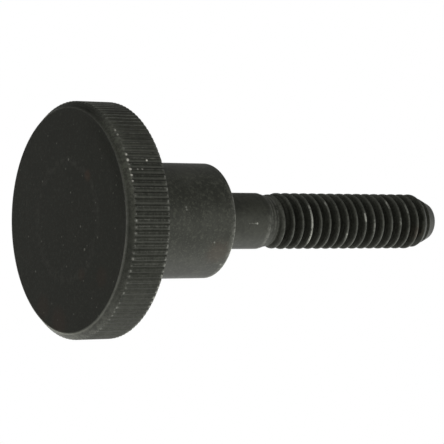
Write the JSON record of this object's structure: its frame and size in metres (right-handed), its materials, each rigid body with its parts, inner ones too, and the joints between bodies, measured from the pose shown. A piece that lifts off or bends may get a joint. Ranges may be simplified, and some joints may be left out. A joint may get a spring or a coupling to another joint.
{
  "type": "knurled thumb screw",
  "caption": "One-piece thumb screw: flat disc head with a straight-knurled rim, round collar, plain shank and a right-hand thread with a tapered point.",
  "frame": {"origin": "centre of the head's flat face, on which the screw stands", "axes": "+Z along the screw's axis, from the head towards the thread's point; +X and +Y are any two directions square to it"},
  "size_m": [0.0254, 0.0254, 0.049],
  "materials": {
    "blackened_steel": "black oxide, satin, worn bright on the thread crests and the knurl's edges"
  },
  "bodies": {
    "root": {"thumb_screw": "blackened_steel"}
  },
  "joints": []
}
